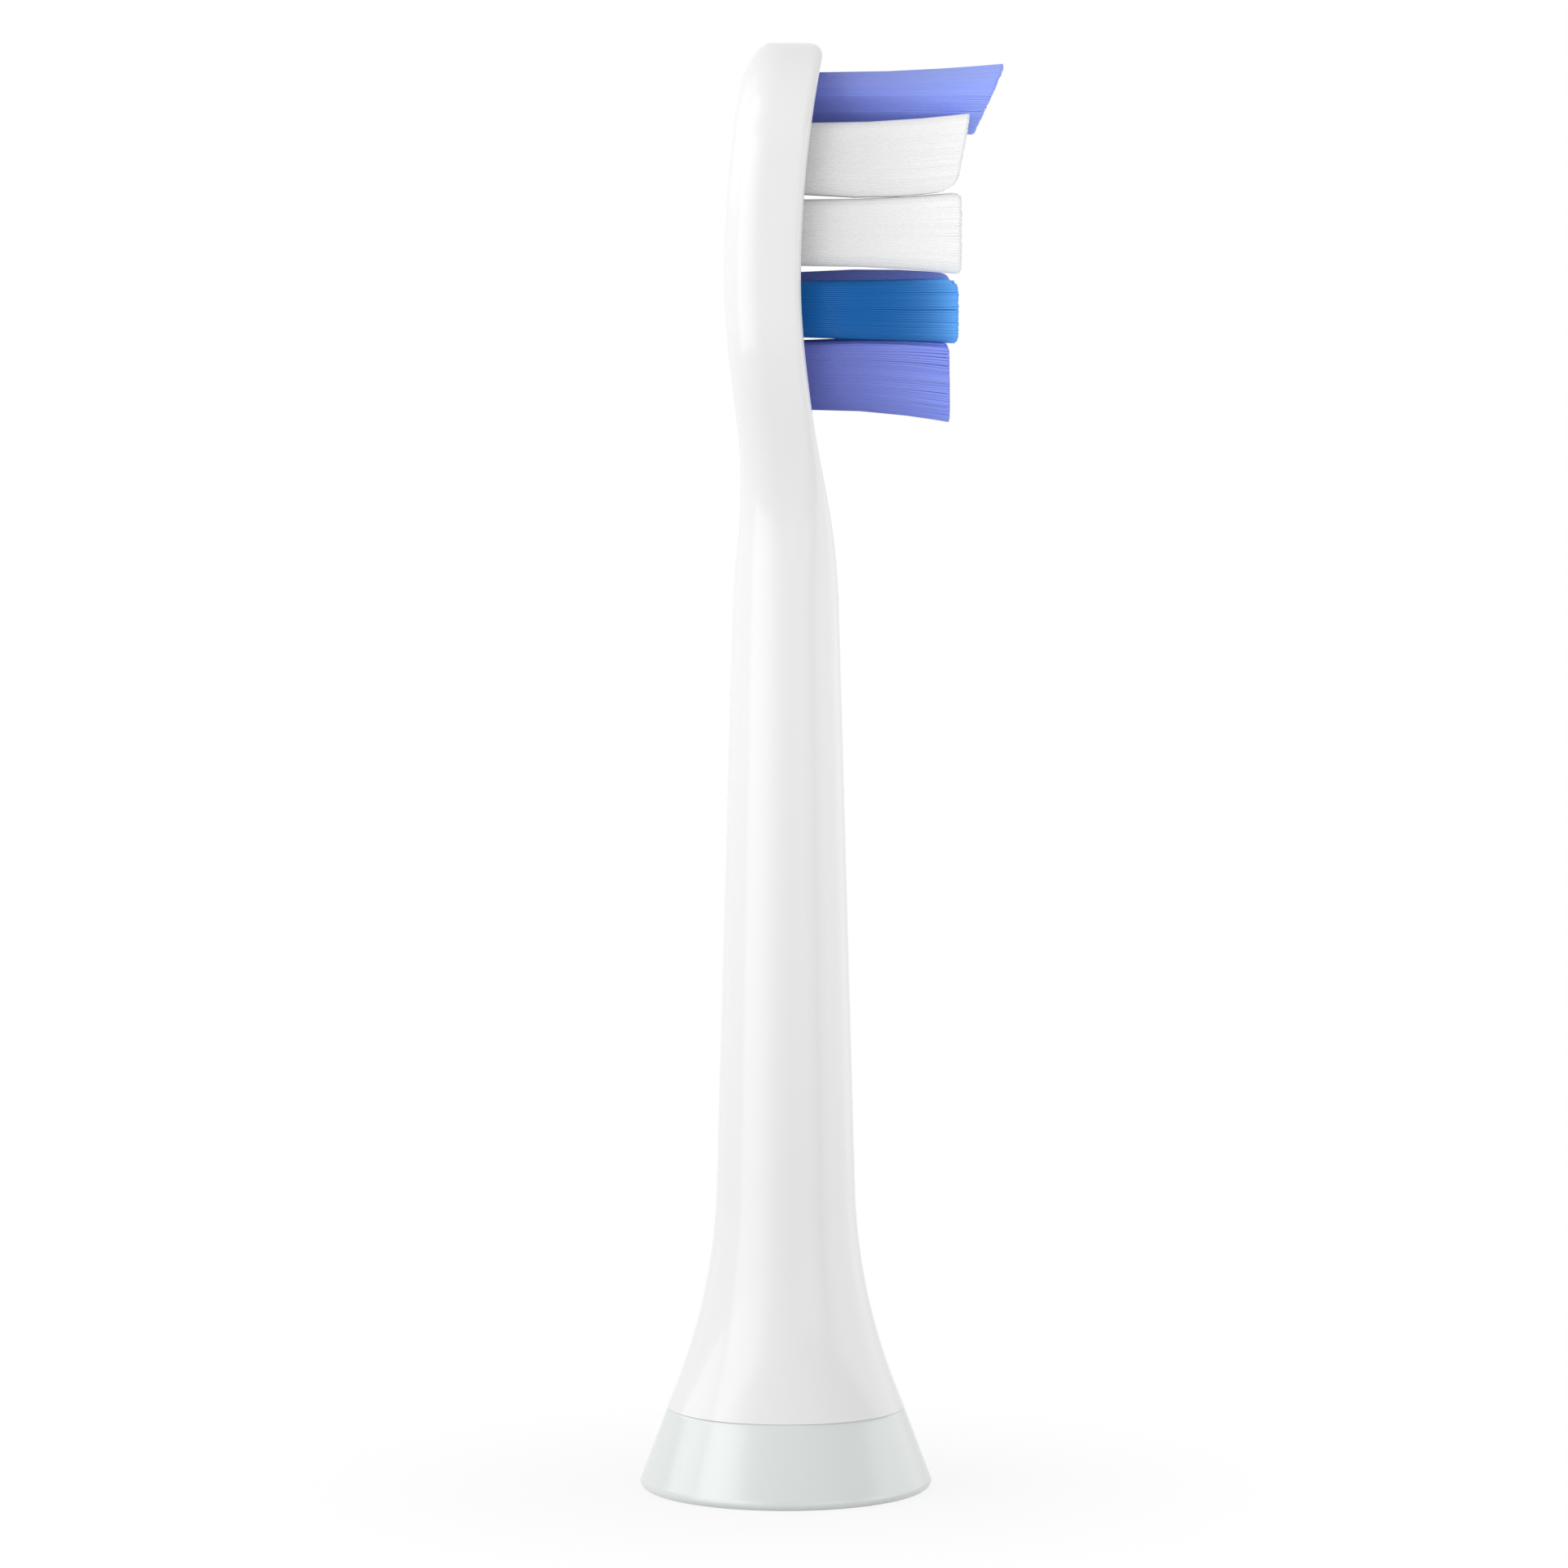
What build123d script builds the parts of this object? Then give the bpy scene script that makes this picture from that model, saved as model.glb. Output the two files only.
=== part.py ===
from build123d import *
from dataclasses import dataclass
import math
import os

# Electric toothbrush head, in millimetres. The origin is the centre of the base rim, on the axis of the
# handle's shaft. +Z runs up the neck to the tip, and +X is the way the bristles point.

# Overall sizes
LENGTH = 76.4
BASE_DIAMETER = 15.5
BASE_EDGE = 0.35

# Base ring: a cone below the seam, and a thin spigot inside the skirt above it
RING_HEIGHT = 4.35
RING_WALL = 1.3
SKIRT_WALL = 0.7
SPIGOT_LENGTH = 2.6
SPIGOT_ROOM = 0.25
LAP_CLEARANCE = 0.04
SEAM_CHAMFER = 0.12

# Flare and neck: a circular arc runs up from the skirt into a straight taper
FLARE_TOP = 16.0
FLARE_RADIUS = 31.0
NECK_ROOT_DIAMETER = 7.35
NECK_TOP_DIAMETER = 5.6
NECK_ROUNDNESS = 0.97

# Head: each drop is measured down from the tip
NECK_TOP_DROP = 29.4
BEND_START_DROP = 26.4
THIN_DROP = 18.9
WIDE_DROP = 14.4
HEAD_MIDDLE_DROP = 12.4
HEAD_WIDTH = 11.5
HEAD_THICKNESS = 4.0
HEAD_SET_BACK = 1.22
HEAD_CURVE_RADIUS = 60.0
HEAD_BACK_EDGE = 1.9
HEAD_FRONT_EDGE = 0.5
TIP_BACK_EDGE = 1.15
TIP_BACK_FALL = 2.7
TIP_FRONT_EDGE = 0.9
TIP_FRONT_FALL = 0.9
ARCH_TURNS = (0, 15, 29, 42, 53, 62, 70, 77, 84)

# Drive socket: a round guide at the mouth, then a D-shaped bore that turns with the shaft
SOCKET_MOUTH = 5.0
GUIDE_DIAMETER = 4.6
GUIDE_LENGTH = 5.0
SHAFT_DIAMETER = 4.0
SHAFT_CLEARANCE = 0.05
SHAFT_FLAT = 1.45
DRIVE_LENGTH = 9.0
HUB_DIAMETER = 5.6
HUB_TOP_DIAMETER = 5.4
HUB_CAP = 0.8
HUB_FLANGE_DIAMETER = 6.8
HUB_FLANGE = 1.0
HUB_CLEARANCE = 0.03

# Spring leaf, bowed towards the shaft in a window of the hub
SPRING_LENGTH = 7.0
SPRING_WIDTH = 2.0
SPRING_THICKNESS = 0.25
SPRING_CLEARANCE = 0.08

# Tufts: three columns of bundles, each fused at its root into a bead that the head is moulded round
CENTRE_WIDTH = 2.8
OUTER_WIDTH = 2.75
COLUMN_GAP = 0.35
ROW_GAP = 0.35
COLUMN_FAN = 0.1
OUTER_FAN = 0.35
TUFT_CORNER = 0.75
ROOT_DEPTH = 2.0
BEAD_WIDTH = 0.1
BEAD_THICKNESS = 0.5
TUFT_CLEARANCE = 0.02
FAN_SHARES = (0.0, 0.5)

# Places of the rows: the tip tuft and the first full row from the tip, then the length of each row
TIP_DROP = 1.55
TIP_LENGTH = 2.95
TIP_BULGE = 1.2
TIP_SHOULDER_WIDTH = 6.0
TIP_FOOT_WIDTH = 1.8
ROW_B_DROP = 4.25
ROW_B_LENGTH = 3.6
ROW_C_LENGTH = 3.45
ROW_D_LENGTH = 3.25
ROW_D_SHORT = 0.4
HEEL_LENGTH = 3.6
HEEL_BULGE = 0.7
HEEL_TOP_WIDTH = 8.6
HEEL_FOOT_WIDTH = 6.2

# Length of the longest row's bristles, and how much shorter the other rows are trimmed
BRISTLE_LENGTH = 8.3
ROW_B_TRIM = 0.6
ROW_D_TRIM = 0.2
ROW_D_CENTRE_TRIM = ROW_D_TRIM + 0.35
HEEL_TRIM = 0.9


@dataclass
class Cut:
    """How a bundle runs out: how far its two edges fan along Z and belly out at mid-length, how much it is
    trimmed at the lower edge, how much longer the upper one is, and the bevel round its end."""

    fan_low: float
    fan_high: float
    bevel: float
    trim: float = 0.0
    slant: float = 0.0
    belly_low: float = 0.0
    belly_high: float = 0.0

    @property
    def reach(self):
        return BRISTLE_LENGTH - self.trim


TIP_CUT = Cut(fan_low=-0.28, fan_high=0.4, bevel=0.2, slant=1.55)
ROW_B_CUT = Cut(fan_low=0.1, fan_high=0.5, bevel=0.35, trim=ROW_B_TRIM, slant=0.7, belly_low=-0.2)
ROW_B_CENTRE_CUT = Cut(fan_low=0.1, fan_high=-0.05, bevel=0.3, trim=ROW_B_TRIM, slant=0.45, belly_low=-0.2)
ROW_C_CUT = Cut(fan_low=-0.4, fan_high=0.35, bevel=0.15)
ROW_C_CENTRE_CUT = Cut(fan_low=-0.3, fan_high=0.35, bevel=0.15)
ROW_D_CUT = Cut(fan_low=-0.25, fan_high=0.1, bevel=0.45, trim=ROW_D_TRIM, belly_low=-0.1)
ROW_D_CENTRE_CUT = Cut(
    fan_low=-0.25, fan_high=-0.05, bevel=0.45, trim=ROW_D_CENTRE_TRIM, belly_low=-0.1, belly_high=0.17
)
HEEL_CUT = Cut(fan_low=-0.5, fan_high=-0.05, bevel=0.3, trim=HEEL_TRIM, slant=-0.1, belly_high=0.13)

# Heights that follow from the sizes
neck_top = LENGTH - NECK_TOP_DROP
bend_start = LENGTH - BEND_START_DROP
thin_height = LENGTH - THIN_DROP
wide_height = LENGTH - WIDE_DROP
head_middle = LENGTH - HEAD_MIDDLE_DROP
arch_spring = LENGTH - HEAD_WIDTH / 2 * math.sin(math.radians(ARCH_TURNS[-1]))
spigot_top = RING_HEIGHT + SPIGOT_LENGTH
skirt_ceiling = spigot_top + SPIGOT_ROOM
guide_end = SOCKET_MOUTH + GUIDE_LENGTH
drive_end = guide_end + DRIVE_LENGTH
hub_top = drive_end + HUB_CAP
socket_top = hub_top + HUB_CLEARANCE
socket_root_radius = HUB_DIAMETER / 2 + HUB_CLEARANCE
socket_top_radius = HUB_TOP_DIAMETER / 2 + HUB_CLEARANCE

os.makedirs("parts", exist_ok=True)


def ease(height, start, end):
    """A share from 0 to 1 that leaves start and reaches end with no slope."""
    share = min(max((height - start) / (end - start), 0), 1)
    return share * share * (3 - 2 * share)


def edge_inset(depth, edge, fall):
    """How far an edge rounded over a fall stands back from its corner, at a depth below it."""
    left = max(1 - depth / fall, 0)
    return edge * (1 - math.sqrt(1 - left**2))


def neck_radius(height):
    """The round stem: a straight taper, with the flare's arc added below its top."""
    taper = (NECK_ROOT_DIAMETER - NECK_TOP_DIAMETER) / 2 / (neck_top - FLARE_TOP)
    radius = NECK_ROOT_DIAMETER / 2 - taper * (height - FLARE_TOP)
    below = max(FLARE_TOP - height, 0)
    return radius + FLARE_RADIUS - math.sqrt(FLARE_RADIUS**2 - below**2)


def spine(height):
    """The middle of the moulding along X: it leans back under the head, then curves forward to the tip."""
    above = max(height - head_middle, 0)
    return above**2 / (2 * HEAD_CURVE_RADIUS) - HEAD_SET_BACK * ease(height, bend_start, head_middle)


def back_and_front(height):
    """The moulding's reach along X at a height, with the tip's edges rounded."""
    thinning = ease(height, neck_top, thin_height)
    half_depth = neck_radius(height) * (1 - thinning) + HEAD_THICKNESS / 2 * thinning
    back = spine(height) - half_depth + edge_inset(LENGTH - height, TIP_BACK_EDGE, TIP_BACK_FALL)
    front = spine(height) + half_depth - edge_inset(LENGTH - height, TIP_FRONT_EDGE, TIP_FRONT_FALL)
    return back, front


def half_width(height):
    """Half the moulding's width along Y: round stem, wide head, and a round arch to the tip."""
    widening = ease(height, bend_start, wide_height)
    width = neck_radius(height) * (1 - widening) + HEAD_WIDTH / 2 * widening
    if height <= arch_spring:
        return width
    return math.sqrt((HEAD_WIDTH / 2) ** 2 - (height - arch_spring) ** 2)


def corner_radii(height):
    """The section's back and front corners: nearly a circle on the neck, then the head's own edges."""
    back, front = back_and_front(height)
    full_round = NECK_ROUNDNESS * min((front - back) / 2, half_width(height))
    thinning = ease(height, neck_top, thin_height)
    back_corner = full_round * (1 - thinning) + HEAD_BACK_EDGE * thinning
    front_corner = full_round * (1 - thinning) + HEAD_FRONT_EDGE * thinning
    return min(back_corner, full_round), min(front_corner, full_round)


def spread(start, end, count):
    """Evenly spaced heights from start up to, but without, end."""
    return [start + (end - start) * i / count for i in range(count)]


# Heights of the sections: close together where the form turns, far apart along the straight taper
stations = spread(RING_HEIGHT, FLARE_TOP, 7)
stations += spread(FLARE_TOP, neck_top, 5)
stations += spread(neck_top, arch_spring, 14)
stations += [arch_spring + HEAD_WIDTH / 2 * math.sin(math.radians(turn)) for turn in ARCH_TURNS]


@dataclass
class Tuft:
    """One bundle: the outline of its root on the head's face, in Y and Z, and how it fans and ends."""

    name: str
    low: float
    high: float
    low_sides: tuple
    high_sides: tuple
    fans: tuple
    cut: Cut
    low_bulge: float = 0.0
    high_bulge: float = 0.0

    @property
    def bottom(self):
        return self.low - self.low_bulge

    @property
    def top(self):
        return self.high + self.high_bulge

    @property
    def face(self):
        """X of the head's face at the middle of the root."""
        return back_and_front((self.bottom + self.top) / 2)[1]

    def placed(self, y, z, share, span):
        """A point of the root's outline, fanned along Y and spread over the span of a section."""
        near = min(self.low_sides[0], self.high_sides[0])
        far = max(self.low_sides[1], self.high_sides[1])
        across = (y - near) / (far - near)
        shift = self.fans[1] * across - self.fans[0] * (1 - across)
        along = (z - self.bottom) / (self.top - self.bottom)
        return y + shift * share**2, along * span


def middle_tuft(name, low, high, foot_width, top_width, cut, low_bulge=0.0, high_bulge=0.0):
    foot = (-foot_width / 2, foot_width / 2)
    top = (-top_width / 2, top_width / 2)
    return Tuft(name, low, high, foot, top, (COLUMN_FAN, COLUMN_FAN), cut, low_bulge, high_bulge)


def outer_tufts(row, low, high, cut):
    inner = CENTRE_WIDTH / 2 + COLUMN_GAP
    outer = inner + OUTER_WIDTH
    left = Tuft(f"{row}_left", low, high, (-outer, -inner), (-outer, -inner), (OUTER_FAN, COLUMN_FAN), cut)
    right = Tuft(f"{row}_right", low, high, (inner, outer), (inner, outer), (COLUMN_FAN, OUTER_FAN), cut)
    return [left, right]


def outline(tuft, share=0.0, grow=0.0, depth=0.0):
    """A bundle's section at a share of its length, on a plane that tilts by degrees towards the end cut."""
    cut = tuft.cut
    belly = 4 * share * (1 - share)
    low_z = tuft.bottom + cut.fan_low * share**2 + cut.belly_low * belly
    high_z = tuft.top + cut.fan_high * share**2 + cut.belly_high * belly
    low = Vector(tuft.face + cut.reach * share - depth, 0, low_z)
    high = Vector(tuft.face + (cut.reach + cut.slant) * share - depth, 0, high_z)
    rise = high - low
    low_near = tuft.placed(tuft.low_sides[0], tuft.low, share, rise.length)
    low_far = tuft.placed(tuft.low_sides[1], tuft.low, share, rise.length)
    high_far = tuft.placed(tuft.high_sides[1], tuft.high, share, rise.length)
    high_near = tuft.placed(tuft.high_sides[0], tuft.high, share, rise.length)
    low_middle = tuft.placed(sum(tuft.low_sides) / 2, tuft.bottom, share, rise.length)
    high_middle = tuft.placed(sum(tuft.high_sides) / 2, tuft.top, share, rise.length)
    with BuildSketch(Plane(origin=low, x_dir=(0, 1, 0), z_dir=(rise.Z, 0, -rise.X))) as section:
        with BuildLine():
            if tuft.low_bulge:
                ThreePointArc(low_near, low_middle, low_far)
            else:
                Line(low_near, low_far)
            Line(low_far, high_far)
            if tuft.high_bulge:
                ThreePointArc(high_far, high_middle, high_near)
            else:
                Line(high_far, high_near)
            Line(high_near, low_near)
        make_face()
        chamfer(section.vertices(), TUFT_CORNER)
        if grow:
            offset(amount=grow, kind=Kind.INTERSECTION)
    return section.sketch


# The rows, from the tip down to the heel
tip_shoulder = LENGTH - TIP_DROP - TIP_BULGE
tip_low = LENGTH - TIP_DROP - TIP_LENGTH
row_b_high = LENGTH - ROW_B_DROP
row_b_low = row_b_high - ROW_B_LENGTH
row_c_high = row_b_low - ROW_GAP
row_c_low = row_c_high - ROW_C_LENGTH
row_d_high = row_c_low - ROW_GAP
row_d_low = row_d_high - ROW_D_LENGTH
heel_high = row_d_low - ROW_GAP
heel_low = heel_high - HEEL_LENGTH + HEEL_BULGE
b_centre_high = tip_low - ROW_GAP

tufts = [
    middle_tuft(
        "tip_tuft", tip_low, tip_shoulder, TIP_FOOT_WIDTH, TIP_SHOULDER_WIDTH, TIP_CUT, high_bulge=TIP_BULGE
    ),
    middle_tuft("tuft_b_centre", row_b_low, b_centre_high, CENTRE_WIDTH, CENTRE_WIDTH, ROW_B_CENTRE_CUT),
    middle_tuft("tuft_c_centre", row_c_low, row_c_high, CENTRE_WIDTH, CENTRE_WIDTH, ROW_C_CENTRE_CUT),
    middle_tuft("tuft_d_centre", row_d_low, row_d_high, CENTRE_WIDTH, CENTRE_WIDTH, ROW_D_CENTRE_CUT),
    middle_tuft(
        "heel_tuft", heel_low, heel_high, HEEL_FOOT_WIDTH, HEEL_TOP_WIDTH, HEEL_CUT, low_bulge=HEEL_BULGE
    ),
]
tufts += outer_tufts("tuft_b", row_b_low, row_b_high, ROW_B_CUT)
tufts += outer_tufts("tuft_c", row_c_low, row_c_high, ROW_C_CUT)
tufts += outer_tufts("tuft_d", row_d_low, row_d_high - ROW_D_SHORT, ROW_D_CUT)


# Pockets: the room that the roots and their beads take in the head
with BuildPart() as pockets:
    for tuft in tufts:
        extrude(outline(tuft, grow=TUFT_CLEARANCE, depth=ROOT_DEPTH), amount=2 * ROOT_DEPTH)
        bead = outline(tuft, grow=BEAD_WIDTH + TUFT_CLEARANCE, depth=ROOT_DEPTH)
        extrude(bead, amount=BEAD_THICKNESS + TUFT_CLEARANCE)

# Brush body: one moulding, lofted through its sections, then cored for the ring, the hub and the tufts
with BuildPart() as brush_body:
    for station in stations:
        back, front = back_and_front(station)
        back_corner, front_corner = corner_radii(station)
        with BuildSketch(Plane.XY.offset(station)) as section:
            with Locations(((back + front) / 2, 0)):
                Rectangle(front - back, 2 * half_width(station))
            fillet(section.vertices().group_by(Axis.X)[0], back_corner)
            fillet(section.vertices().group_by(Axis.X)[-1], front_corner)
    loft(ruled=True)
    with BuildSketch(Plane.XZ):
        with BuildLine():
            Polyline(
                (0, RING_HEIGHT),
                (neck_radius(RING_HEIGHT) - SKIRT_WALL, RING_HEIGHT),
                (neck_radius(skirt_ceiling) - SKIRT_WALL, skirt_ceiling),
                (socket_root_radius, skirt_ceiling),
                (socket_top_radius, socket_top),
                (0, socket_top),
                close=True,
            )
        make_face()
    revolve(axis=Axis.Z, mode=Mode.SUBTRACT)
    add(pockets.part, mode=Mode.SUBTRACT)

brush_body.part.label = "brush_body"
export_step(brush_body.part, "parts/brush_body.step")

# Base ring: the cone that shows below the seam, with a spigot that laps inside the skirt
base_radius = BASE_DIAMETER / 2
seam_radius = neck_radius(RING_HEIGHT)
spigot_root = seam_radius - SKIRT_WALL - LAP_CLEARANCE
spigot_end = neck_radius(spigot_top) - SKIRT_WALL - LAP_CLEARANCE
with BuildPart() as base_ring:
    with BuildSketch(Plane.XZ):
        with BuildLine():
            Polyline(
                (base_radius - RING_WALL, 0),
                (base_radius - BASE_EDGE, 0),
                (base_radius, BASE_EDGE),
                (seam_radius, RING_HEIGHT - SEAM_CHAMFER),
                (seam_radius - SEAM_CHAMFER, RING_HEIGHT),
                (spigot_root, RING_HEIGHT),
                (spigot_end, spigot_top),
                (neck_radius(spigot_top) - RING_WALL, spigot_top),
                (seam_radius - RING_WALL, RING_HEIGHT),
                close=True,
            )
        make_face()
    revolve(axis=Axis.Z)

base_ring.part.label = "base_ring"
export_step(base_ring.part, "parts/base_ring.step")

# Drive hub: a flanged sleeve, round at the mouth, D-shaped above, with a window for the spring leaf
window_middle = (guide_end + drive_end) / 2
window_length = SPRING_LENGTH + 2 * SPRING_CLEARANCE
window_width = SPRING_WIDTH + 2 * SPRING_CLEARANCE
bore_radius = SHAFT_DIAMETER / 2 + SHAFT_CLEARANCE
with BuildPart() as drive_hub:
    with BuildSketch(Plane.XZ):
        with BuildLine():
            Polyline(
                (0, SOCKET_MOUTH),
                (HUB_DIAMETER / 2, SOCKET_MOUTH),
                (HUB_DIAMETER / 2, skirt_ceiling - HUB_FLANGE),
                (HUB_FLANGE_DIAMETER / 2, skirt_ceiling - HUB_FLANGE),
                (HUB_FLANGE_DIAMETER / 2, skirt_ceiling),
                (HUB_DIAMETER / 2, skirt_ceiling),
                (HUB_TOP_DIAMETER / 2, hub_top),
                (0, hub_top),
                close=True,
            )
        make_face()
    revolve(axis=Axis.Z)
    with BuildSketch(Plane.XY.offset(SOCKET_MOUTH)):
        Circle(GUIDE_DIAMETER / 2)
    extrude(amount=GUIDE_LENGTH, mode=Mode.SUBTRACT)
    with BuildSketch(Plane.XY.offset(guide_end)):
        Circle(bore_radius)
        with Locations((SHAFT_FLAT + bore_radius, 0)):
            Rectangle(2 * bore_radius, 2 * bore_radius, mode=Mode.SUBTRACT)
    extrude(amount=DRIVE_LENGTH, mode=Mode.SUBTRACT)
    with BuildSketch(Plane.YZ.offset(SHAFT_FLAT)):
        with Locations((0, window_middle)):
            Rectangle(window_width, window_length)
    extrude(amount=HUB_DIAMETER, mode=Mode.SUBTRACT)

drive_hub.part.label = "drive_hub"
export_step(drive_hub.part, "parts/drive_hub.step")

# Spring clip: a bowed leaf that bears on the neck at its ends and on the shaft's flat at its middle
leaf_middle = SHAFT_FLAT
leaf_seat = math.sqrt(socket_top_radius**2 - (SPRING_WIDTH / 2) ** 2) - SPRING_CLEARANCE
leaf_end = leaf_seat - SPRING_THICKNESS
leaf_low = window_middle - SPRING_LENGTH / 2
leaf_high = window_middle + SPRING_LENGTH / 2
with BuildPart() as spring_clip:
    with BuildSketch(Plane.XZ):
        with BuildLine():
            ThreePointArc((leaf_end, leaf_low), (leaf_middle, window_middle), (leaf_end, leaf_high))
            Line((leaf_end, leaf_high), (leaf_seat, leaf_high))
            ThreePointArc(
                (leaf_seat, leaf_high), (leaf_middle + SPRING_THICKNESS, window_middle), (leaf_seat, leaf_low)
            )
            Line((leaf_seat, leaf_low), (leaf_end, leaf_low))
        make_face()
    extrude(amount=SPRING_WIDTH / 2, both=True)

spring_clip.part.label = "spring_clip"
export_step(spring_clip.part, "parts/spring_clip.step")


def make_tuft(tuft):
    """A bundle of bristles: a straight root with its fused bead, then a fanning body with a bevelled end."""
    bevel = tuft.cut.bevel
    shoulder = 1 - bevel / (tuft.cut.reach + max(tuft.cut.slant, 0))
    sections = [outline(tuft, share) for share in FAN_SHARES]
    sections += [outline(tuft, shoulder), outline(tuft, 1, grow=-bevel)]
    with BuildPart() as bundle:
        loft(sections, ruled=True)
        extrude(outline(tuft, depth=ROOT_DEPTH), amount=ROOT_DEPTH)
        extrude(outline(tuft, grow=BEAD_WIDTH, depth=ROOT_DEPTH), amount=BEAD_THICKNESS)
    return bundle.part


for tuft in tufts:
    bundle = make_tuft(tuft)
    bundle.label = tuft.name
    export_step(bundle, f"parts/{tuft.name}.step")
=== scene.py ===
# %% [markdown]
# # A toothbrush head, from its frame to its bristles
# The imported CAD model is the frame of this scene: every piece made here sits where a CAD piece sits.
# A white moulding carries eleven bundles of nylon bristles, and a pale grey ring closes its base. The
# lesson starts by loading the frame.

# %% Load the frame
import math

import bmesh
import bpy
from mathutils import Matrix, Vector


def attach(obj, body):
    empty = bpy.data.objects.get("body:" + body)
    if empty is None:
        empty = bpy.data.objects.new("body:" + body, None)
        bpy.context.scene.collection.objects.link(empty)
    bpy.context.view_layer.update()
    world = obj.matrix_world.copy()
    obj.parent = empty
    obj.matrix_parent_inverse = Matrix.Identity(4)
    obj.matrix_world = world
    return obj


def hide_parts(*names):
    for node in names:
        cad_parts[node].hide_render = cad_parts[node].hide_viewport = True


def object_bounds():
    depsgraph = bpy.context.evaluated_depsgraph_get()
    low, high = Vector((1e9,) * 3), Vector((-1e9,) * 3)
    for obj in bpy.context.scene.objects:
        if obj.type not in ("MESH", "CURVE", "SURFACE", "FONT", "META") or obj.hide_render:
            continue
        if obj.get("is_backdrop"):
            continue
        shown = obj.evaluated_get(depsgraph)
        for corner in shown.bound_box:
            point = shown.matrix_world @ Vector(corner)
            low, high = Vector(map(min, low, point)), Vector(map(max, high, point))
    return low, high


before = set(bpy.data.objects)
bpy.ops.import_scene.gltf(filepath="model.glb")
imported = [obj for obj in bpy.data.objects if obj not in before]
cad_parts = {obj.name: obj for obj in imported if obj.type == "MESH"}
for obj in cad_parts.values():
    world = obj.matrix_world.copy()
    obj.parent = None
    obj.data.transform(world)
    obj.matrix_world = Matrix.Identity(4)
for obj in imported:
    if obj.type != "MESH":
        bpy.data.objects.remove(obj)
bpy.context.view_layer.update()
MM = 0.001
print("CAD pieces:", ", ".join(sorted(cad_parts)))

# %% [markdown]
# ## The camera
# The photograph looks at the head's left side from a little above, through a long lens. A camera that
# is far away keeps the sides of a slim object parallel, and a nearer one sees more of the curve of its
# base. Both show here, so the camera stands about 36 cm away and tilts down by a few degrees.

# %% Set up the camera
CAMERA_PLACE = Vector((-0.0001, -0.36, 0.0665))
CAMERA_TILT = math.radians(4.612)
LENS = 157.0

camera_data = bpy.data.cameras.new("camera")
camera_data.lens = LENS
camera = bpy.data.objects.new("camera", camera_data)
camera.location = CAMERA_PLACE
camera.rotation_euler = (math.radians(90) - CAMERA_TILT, 0, 0)
bpy.context.scene.collection.objects.link(camera)
bpy.context.scene.camera = camera
print("camera stands", round(-CAMERA_PLACE.y / MM), "mm away")

# %% [markdown]
# ## Building node trees from code
# Materials and Geometry Nodes are both trees of nodes. A few small helpers keep the code short: one
# makes a node and fills its sockets, with a plain value or with a link from another node, one does a
# sum with a Math node, and one opens a group with named sockets.


# %% Helpers for node trees
def make_node(tree, kind, sockets=None, **settings):
    """A node with its settings, and each named or numbered socket given a value or a link."""
    made = tree.nodes.new(kind)
    for name, value in settings.items():
        setattr(made, name, value)
    for name, value in (sockets or {}).items():
        if isinstance(value, bpy.types.NodeSocket):
            tree.links.new(value, made.inputs[name])
        else:
            made.inputs[name].default_value = value
    return made


def math_node(tree, operation, *values):
    """The result of a Math node."""
    return make_node(tree, "ShaderNodeMath", dict(enumerate(values)), operation=operation).outputs[0]


def open_group(name, kind, inputs, outputs):
    """A node group with named sockets, each given as (name, socket kind, default)."""
    tree = bpy.data.node_groups.new(name, kind)
    for socket_name, socket_kind, default in inputs:
        socket = tree.interface.new_socket(socket_name, in_out="INPUT", socket_type=socket_kind)
        if default is not None:
            socket.default_value = default
    for socket_name, socket_kind in outputs:
        tree.interface.new_socket(socket_name, in_out="OUTPUT", socket_type=socket_kind)
    return tree, tree.nodes.new("NodeGroupInput").outputs, tree.nodes.new("NodeGroupOutput").inputs


# %% Helpers for materials
WHITE = (1.0, 1.0, 1.0, 1.0)


def empty_material(name):
    """A material with an empty tree."""
    material = bpy.data.materials.new(name)
    material.use_nodes = True
    material.node_tree.nodes.clear()
    return material, material.node_tree


def surface_material(name):
    """A material with a Principled shader that is already joined to the output."""
    material, tree = empty_material(name)
    shader = make_node(tree, "ShaderNodeBsdfPrincipled")
    make_node(tree, "ShaderNodeOutputMaterial", {"Surface": shader.outputs[0]})
    return material, tree, shader


# %% [markdown]
# ## Moulded plastic
# Polished plastic is never quite even: the steel mould leaves a faint orange-peel ripple, and handling
# leaves the gloss a little uneven. Three plastics here share those effects, so they are one node group.
# It gives a roughness that wanders and a height for a Bump node. Each material sets its own range of
# gloss and its own depth of ripple.

# %% The moulded skin group
PATCH_LOW = 0.3
PATCH_HIGH = 0.7

skin_tree, skin_in, skin_out = open_group(
    "moulded_skin",
    "ShaderNodeTree",
    [
        ("Gloss Patch Size", "NodeSocketFloat", 0.006),
        ("Ripple Size", "NodeSocketFloat", 0.0008),
        ("Smoothest", "NodeSocketFloat", 0.2),
        ("Roughest", "NodeSocketFloat", 0.3),
    ],
    [("Roughness", "NodeSocketFloat"), ("Height", "NodeSocketFloat")],
)
skin_place = make_node(skin_tree, "ShaderNodeTexCoord").outputs["Object"]
patch_scale = math_node(skin_tree, "DIVIDE", 1.0, skin_in["Gloss Patch Size"])
patch = make_node(
    skin_tree, "ShaderNodeTexNoise", {"Vector": skin_place, "Scale": patch_scale, "Detail": 3.0}
)
gloss = make_node(
    skin_tree,
    "ShaderNodeMapRange",
    {
        "Value": patch.outputs[0],
        "From Min": PATCH_LOW,
        "From Max": PATCH_HIGH,
        "To Min": skin_in["Smoothest"],
        "To Max": skin_in["Roughest"],
    },
)
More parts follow.
